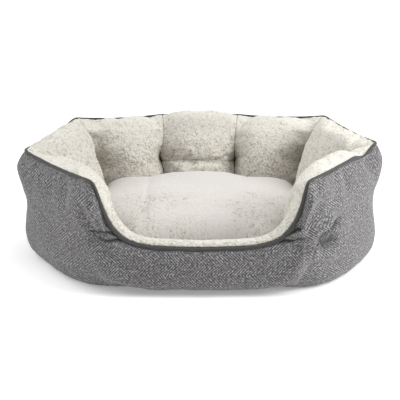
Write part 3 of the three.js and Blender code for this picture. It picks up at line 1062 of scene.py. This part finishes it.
CUSHION_INSET = 84
CUSHION_REACH = 8
CUSHION_BOTTOM = 10.4
CUSHION_SEAM = 30
CUSHION_CROWN = 99
CUSHION_LEAN = 15  # how far the cushion pushes forward over the low front wall
CUSHION_SWELL = 0.05
CUSHION_DENTS = (-92, 88)  # faint hollows from front to back
PARTING_X = -88  # a line down the front where the pile lies parted
PARTING_Y = -45
PARTING_REACH = 55


def cushion_outline(angles):
    """How far the cushion's edge is from its middle at each angle."""
    places = np.array([0, 0.2, 0.4, 0.6, 0.8])
    reach = CUSHION_INSET - CUSHION_REACH * np.abs(2 * places - 1) ** 4
    points = []
    for index in range(len(CORNERS)):
        rim, step = wall_at(index, places)
        points.append(rim + step * reach[:, None])
    points = np.concatenate(points)
    for _ in range(4):  # cutting the corners again and again rounds the outline
        ahead = np.roll(points, -1, axis=0)
        points = np.stack([between(points, ahead, 0.25), between(points, ahead, 0.75)], axis=1)
        points = points.reshape(-1, 2)
    angle = np.arctan2(points[:, 1], points[:, 0])
    order = np.argsort(angle)
    return np.interp(angles, angle[order], np.hypot(*points[order].T), period=2 * math.pi)


def cushion_plan(count):
    """A square grid of points pressed into the cushion's outline, and how far out each is."""
    a, b = np.meshgrid(np.linspace(-1, 1, count), np.linspace(-1, 1, count), indexing="ij")
    x, y = a * np.sqrt(1 - b * b / 2), b * np.sqrt(1 - a * a / 2)
    share = np.clip(np.hypot(x, y), 0, 1)
    angle = np.arctan2(y, x)
    reach = cushion_outline(angle.ravel()).reshape(angle.shape)
    return np.stack([share * reach * np.cos(angle), share * reach * np.sin(angle)], axis=2), share


def cushion_top(material):
    """The fleece: a dome that leans forward, with lumps, dents and a parted line."""
    count = 241
    plan, share = cushion_plan(count)
    dome = 0.91 + 0.09 * bell(plan[..., 0], 105)
    lift = CUSHION_SEAM + (CUSHION_CROWN - CUSHION_SEAM) * (1 - share ** 5) ** 0.42 * dome
    high = np.clip((lift - CUSHION_SEAM) / 25, 0, 1) * share ** 2
    front = np.clip(-plan[..., 1] / 140, 0, 1)
    plan[..., 1] -= CUSHION_LEAN * front * high
    plan *= 1 + CUSHION_SWELL * high[..., None]
    flat = raised(plan, 0 * share).reshape(-1, 3) * MM
    lumps = 3.0 * smooth_noise(flat, 90 * MM, 41) + 1.2 * smooth_noise(flat, 38 * MM, 42)
    lift = lift + lumps.reshape(lift.shape) * (1 - share ** 4)
    for place in CUSHION_DENTS:
        lift = lift - 2.0 * bell(plan[..., 0] - place, 9) * (1 - share ** 4)
    points = raised(plan, CUSHION_BOTTOM + lift)
    faces = grid_faces(count, count)[:, ::-1]
    obj = mesh_object("cushion_sherpa", points, faces, material=material)
    forward = smoothstep((60 - plan[..., 1].ravel()) / 110)
    # painted shade: the pile opens more toward the left and right, so the cushion's sides, where
    # its dome falls away, come out darker
    side_shade = smoothstep((np.abs(plan[..., 0].ravel()) - 25) / 70)
    parted = 0.25 + forward * (0.5 + 0.2 * side_shade + 0.2 * smooth_noise(flat, 30 * MM, 43))
    across, deep = plan.reshape(-1, 2).T
    line = PARTING_X + 5 * smooth_noise(flat * (0, 1, 0), 18 * MM, 44)
    past = np.maximum(np.abs(deep - PARTING_Y) - PARTING_REACH, 0) / 10
    parting = 0.9 + np.abs(across - line) + past
    raise_pile(obj, 300, parted, parting)
    return obj


def cushion_fill(material):
    """The fibre inside the cushion."""
    angles = np.linspace(2 * math.pi, 0, 97)[:-1]
    reach = cushion_outline(angles) - FILL_INSET
    outline = np.stack([np.cos(angles), np.sin(angles)], axis=1) * reach[:, None]
    below = [(share, CUSHION_BOTTOM + 2.5) for share in np.linspace(0.04, 0.84, 12)]
    rise = CUSHION_CROWN * 0.74 - CUSHION_SEAM - 6
    above = [(share, CUSHION_BOTTOM + CUSHION_SEAM + rise * (1 - share ** 4) ** 0.45)
             for share in np.linspace(1, 0.04, 16)]
    return spun("cushion_fill_fibre", outline, below + above, material)


def cushion_bottom(material):
    """The cover below, flat except for its rounded edge."""
    count = 91
    plan, share = cushion_plan(count)
    flat_to = 0.86
    past = np.clip((share - flat_to) / (1 - flat_to), 0, 1)
    lift = CUSHION_SEAM * (1 - np.sqrt(1 - past ** 2))
    points = raised(plan, CUSHION_BOTTOM + lift)
    return mesh_object("cushion_base", points, grid_faces(count, count), plan, material)


# ---- materials

BAND_HEIGHT = 18.5 * MM
BAND_DRIFT = 6 * MM  # how far a band wanders up and down
LINE_PITCH = 4.7 * MM
LINE_JITTER = 3.2 * MM
DARK_YARN = (0.022, 0.021, 0.022)
MIXED_YARN = (0.118, 0.114, 0.117)
LIGHT_YARN = (0.46, 0.45, 0.46)
CREASE_PAINTED_SHADE = (0.016, 0.016, 0.016)  # painted shade, for where the cloth is folded into a crease
LOCK_SIZE = 5.0 * MM
# The fleece down between its curls, where the darker colour is painted shade, half way up, and at
# its tips.
FLEECE_WITH_CURL_SHADE = ((0.24, 0.215, 0.15), (0.565, 0.54, 0.48), (0.635, 0.624, 0.582))
# The cushion's copy of the fleece: its tips are coloured darker than half way up, painted shade
# that darkens its smooth top and back.
CUSHION_FLEECE_WITH_SHADE = ((0.27, 0.25, 0.19), (0.565, 0.542, 0.505), (0.493, 0.472, 0.452))
# The darkest and the lightest tone of the others, each with its place on the ramp.
PIPING_TONES = ((0.25, (0.012, 0.012, 0.011)), (0.8, (0.046, 0.046, 0.041)))
BASE_TONES = ((0.2, (0.10, 0.10, 0.10)), (0.8, (0.22, 0.22, 0.22)))
FIBRE_TONES = ((0.35, (0.62, 0.62, 0.60)), (0.85, (0.84, 0.84, 0.82)))
THREAD_TONES = ((0.3, (0.10, 0.10, 0.095)), (0.7, (0.22, 0.22, 0.21)))


def herringbone_material():
    """Grey tweed: twill lines that turn about at every band, light yarn on dark."""
    n = Nodes("herringbone", 0.95, sheen=0.15, sheen_roughness=0.6)
    cloth = n.cloth_place()
    along, level = n.split(cloth)[:2]
    drift = n.math("SUBTRACT", n.noise(cloth, 45), 0.5)
    jitter = n.math("SUBTRACT", n.noise(cloth, 500), 0.5)
    up = n.math("ADD", level, n.math("MULTIPLY", drift, BAND_DRIFT))
    across = n.math("ADD", along, n.math("MULTIPLY", jitter, LINE_JITTER))
    slanted = n.math("ADD", across, n.math("PINGPONG", up, BAND_HEIGHT))
    lines = n.math("ADD", n.math("MULTIPLY", n.wave(slanted, LINE_PITCH), 0.5), 0.5)
    yarn = n.noise(cloth, 800, 2, 0.7)
    flecks = n.noise(cloth, 270, 3, 0.65)
    clear = n.math("MULTIPLY_ADD", n.noise(cloth, 40), 1.0, 0.05, clamp=True)
    weave = n.math("ADD", n.math("MULTIPLY", clear, -0.5), n.math("MULTIPLY", lines, clear))
    tone = n.math("MULTIPLY_ADD", weave, 0.4, 0.02)
    tone = n.math("MULTIPLY_ADD", yarn, 0.52, tone)
    tone = n.math("MULTIPLY_ADD", flecks, 0.84, tone)
    colour = n.ramp(tone, (0.50, DARK_YARN), (0.74, MIXED_YARN), (1.0, LIGHT_YARN))
    # painted shade: the weave turns near-black where the crease attribute says
    return n.finish(n.mix(n.attribute("crease_and_painted_shade"), colour, CREASE_PAINTED_SHADE), tone, 0.7 * MM, 0.6)


def sherpa_material(name, root_shade, middle, tip):
    """Off-white curly fleece, with painted shade, darker and warmer, down between the curls and in
    the gaps between its locks.
    """
    n = Nodes(name, 1.0, sheen=0.1, sheen_roughness=0.8)
    place = n.object_place()
    fluff = n.noise(place, 650, 3, 0.7)
    bent = n.add("ShaderNodeVectorMath", operation="MULTIPLY_ADD")
    n.link(n.noise(place, 300, output="Color"), bent.inputs[0])
    bent.inputs[1].default_value = (4 * MM, 4 * MM, 4 * MM)
    n.link(place, bent.inputs[2])
    # painted shade in the gaps between the locks, strongest where the pile stands open
    locks = n.add("ShaderNodeTexVoronoi", feature="DISTANCE_TO_EDGE")
    n.link(bent.outputs[0], locks.inputs["Vector"])
    locks.inputs["Scale"].default_value = 1 / LOCK_SIZE
    gap_shade = n.math("SUBTRACT", 1.0, n.math("MULTIPLY", locks.outputs["Distance"], 9.0), clamp=True)
    open_here = n.math("MULTIPLY_ADD", n.noise(place, 130), 5.0, -2.1, clamp=True)
    gap_shade = n.math("MULTIPLY", gap_shade, n.math("MULTIPLY", open_here, n.attribute("parted")))
    # painted shade: where the pile stands low, between the curls, at the stitches and along the
    # parting, the fleece is coloured darker
    tone = n.math("MULTIPLY", n.attribute("pile_height_and_shade"), 0.8)
    tone = n.math("ADD", tone, n.math("MULTIPLY", fluff, 0.2))
    tone = n.math("MULTIPLY_ADD", gap_shade, -0.45, tone)
    colour = n.ramp(tone, (0.1, root_shade), (0.5, middle), (0.85, tip))
    return n.finish(colour, n.math("MULTIPLY_ADD", gap_shade, -0.6, fluff), 0.6 * MM, 0.5)


def piping_material():
    """Charcoal twill cut on the bias, so that its lines run round the cord."""
    n = Nodes("piping", 0.75, sheen=0.2)
    cloth = n.cloth_place()
    along, around = n.split(cloth)[:2]
    twill = n.wave(n.math("ADD", along, around), 1.3 * MM)
    tone = n.math("ADD", n.math("MULTIPLY", twill, 0.22), n.noise(cloth, 1200, 2, 0.6))
    return n.finish(n.ramp(tone, *PIPING_TONES), tone, 0.25 * MM, 0.6)


def base_cloth_material():
    """Plain-woven dark cloth."""
    n = Nodes("base_cloth", 0.9)
    place = n.object_place()
    x, y = n.split(place)[:2]
    weave = n.math("MULTIPLY", n.wave(x, 1.6 * MM), n.wave(y, 1.6 * MM))
    tone = n.math("ADD", n.math("MULTIPLY", weave, 0.2), n.noise(place, 900, 2, 0.6))
    return n.finish(n.ramp(tone, *BASE_TONES), tone, 0.3 * MM, 0.5)


def fibre_material():
    """White polyester fibre: cloudy, with fine strands."""
    n = Nodes("fibre", 1.0, sheen=0.3)
    place = n.object_place()
    strands = n.math("MULTIPLY", n.noise(place, 900, 2, 0.6), 0.4)
    tone = n.math("ADD", n.noise(place, 90, 4, 0.7), strands)
    return n.finish(n.ramp(tone, *FIBRE_TONES), tone, 1.0 * MM, 0.6)


def thread_material():
    """Spun grey thread and cord."""
    n = Nodes("thread", 0.7)
    tone = n.noise(n.object_place(), 1500, 3, 0.6)
    return n.finish(n.ramp(tone, *THREAD_TONES), tone, 0.2 * MM, 0.5)


# ---- the bed

def place(piece, body, slot, node):
    """Says which body a piece rides on, and the node that it replaces. slot is not used."""
    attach(piece, body)
    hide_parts(node)


def build():
    herringbone = herringbone_material()
    sherpa = sherpa_material("sherpa", *FLEECE_WITH_CURL_SHADE)
    base_cloth = base_cloth_material()
    outer = outer_ring()
    front = outer_cover("outer_cover_front_tweed", COVER_FRONT, outer, herringbone)
    place(front, "bed", "herringbone", "outer_cover_front")
    back = outer_cover("outer_cover_back_tweed", COVER_BACK, outer, herringbone)
    place(back, "bed", "herringbone", "outer_cover_back")
    lining = lining_ring()
    fibre = fibre_material()
    thread = thread_material()
    for index, corner in enumerate(CORNERS):
        panel = lining_panel(index, lining, sherpa)
        place(panel, "bed", "sherpa", "lining_" + corner.panel)
        fill = wall_fill(index, outer, lining, fibre)
        place(fill, "bed", "fibre", "wall_fill_" + corner.panel)
        tie = tuft_tie(index, outer, lining, thread)
        place(tie, "bed", "thread", "tuft_tie_%d" % (index + 1))
    place(piping_cord(thread), "bed", "cord_core", "rim_piping_cord")
    foot = outer[:, 0, :2]
    floor_edge = lining[:, -1, :2]
    base = spun("base_cloth", foot * 0.98, pad_profile(0, 2), base_cloth)
    place(base, "bed", "base_cloth", "base_fabric")
    batting = spun("base_batting_fibre", floor_edge * 0.95, pad_profile(2.3, 8.3), fibre)
    place(batting, "bed", "fibre", "base_batting")
    inside = spun("base_floor_cloth", floor_edge * 0.99, pad_profile(8.5, 9.8), base_cloth, 0.5)
    place(inside, "bed", "base_cloth", "base_floor")
    place(rim_piping(piping_material()), "bed", "piping", "rim_piping")
    # the cushion's fleece: the same sherpa with darker tips, painted shade on its smooth top
    top = cushion_top(sherpa_material("sherpa_cushion_shaded", *CUSHION_FLEECE_WITH_SHADE))
    place(top, "cushion", "sherpa", "cushion_cover_top")
    fill = cushion_fill(fibre)
    place(fill, "cushion", "fibre", "cushion_fill")
    bottom = cushion_bottom(base_cloth)
    place(bottom, "cushion", "base_cloth", "cushion_cover_bottom")


make_camera()
make_studio()
make_floor()
build()
